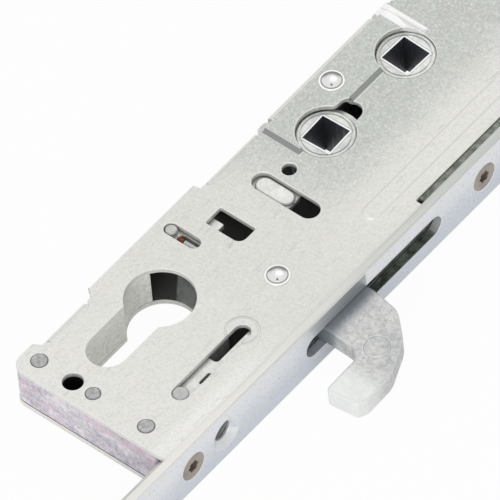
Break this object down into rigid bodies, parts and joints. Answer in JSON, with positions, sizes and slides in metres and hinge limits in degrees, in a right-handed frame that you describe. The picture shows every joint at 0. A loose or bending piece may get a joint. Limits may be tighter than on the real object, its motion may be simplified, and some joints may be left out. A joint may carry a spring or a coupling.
{
  "type": "multipoint door lock",
  "caption": "Centre case of a multipoint door lock: swinging hook bolt, latch, two square spindle followers, profile cylinder seat, faceplate and drive rail.",
  "frame": {"origin": "axis of the profile cylinder seat, at the middle of the case's thickness", "axes": "+X out of the faceplate (the way the hook and the latch stand out), +Y up the door edge towards the spindles and the latch, +Z out of the cover plate. The stored pose lies on the faceplate's lower long edge with the hook and the latch thrown"},
  "size_m": [0.0722, 0.258, 0.0169],
  "materials": {
    "zinc_plated_sheet": "pale zinc plate, faintly mottled",
    "faceplate_steel": "zinc plated, cool grey",
    "cast_block": "die-cast zinc alloy, satin",
    "rail_steel": "zinc plated, dull",
    "slide_steel": "zinc plated, satin",
    "hook_casting": "cast steel, fine grain, plated",
    "hub_steel": "sintered and plated",
    "pin_steel": "plated, turned ends",
    "screw_steel": "plated",
    "spring_steel": "drawn wire",
    "copper_spring": "coppered wire",
    "white_plastic": "moulded",
    "latch_zinc": "die-cast, plated"
  },
  "bodies": {
    "case": {"cover_plate": "zinc_plated_sheet", "base_plate": "zinc_plated_sheet", "end_block": "cast_block", "top_block": "cast_block", "screw_block": "cast_block", "faceplate": "faceplate_steel", "faceplate_screws": "screw_steel", "staked_pins": "pin_steel", "hook_rivet": "pin_steel", "spring_rivet": "pin_steel", "hook_washers": "slide_steel", "latch_spring": "spring_steel", "latch_spring_seat": "white_plastic", "return_spring": "spring_steel", "spring_bush": "white_plastic"},
    "drive": {"drive_rail": "rail_steel", "upper_slide_plate": "slide_steel", "lower_slide_plate": "slide_steel", "slide_guide_pin": "pin_steel", "hook_drive_pin": "pin_steel", "fork_drive_pins": "pin_steel"},
    "hook_bolt": {"hook": "hook_casting", "hook_insert": "hub_steel"},
    "lower_spindle_follower": {"lower_follower": "hub_steel"},
    "upper_spindle_follower": {"upper_follower": "hub_steel"},
    "latch": {"latch_bolt": "latch_zinc"},
    "deadlock": {"deadlock_slide": "slide_steel", "deadlock_pin": "pin_steel", "deadlock_spring": "copper_spring", "detent_plunger": "white_plastic"}
  },
  "joints": [
    {"name": "drive_slide", "type": "slide", "parent": "case", "child": "drive", "axis": [0, 1, 0], "range_m": [0, 0.0229]},
    {"name": "hook_turn", "type": "hinge", "parent": "case", "child": "hook_bolt", "pos_m": [0.0181, 0.0218, 0], "axis": [0, 0, 1], "range_deg": [0, 93]},
    {"name": "lower_follower_turn", "type": "hinge", "parent": "case", "child": "lower_spindle_follower", "pos_m": [0, 0.062, 0], "axis": [0, 0, 1], "range_deg": [0, 54]},
    {"name": "upper_follower_turn", "type": "hinge", "parent": "case", "child": "upper_spindle_follower", "pos_m": [0, 0.092, 0], "axis": [0, 0, 1], "range_deg": [0, 54]},
    {"name": "latch_slide", "type": "slide", "parent": "case", "child": "latch", "axis": [-1, 0, 0], "range_m": [0, 0.0112], "deforming": ["latch_spring"]},
    {"name": "deadlock_slide", "type": "slide", "parent": "case", "child": "deadlock", "axis": [1, 0, 0], "range_m": [0, 0.0068]}
  ],
  "couplings": [
    {"joint": "hook_turn", "follows": "drive_slide", "rad_per_m": 70.88},
    {"joint": "lower_follower_turn", "follows": "drive_slide", "rad_per_m": 41.156},
    {"joint": "upper_follower_turn", "follows": "drive_slide", "rad_per_m": 41.156},
    {"joint": "latch_slide", "follows": "drive_slide", "ratio": 0.48908}
  ]
}
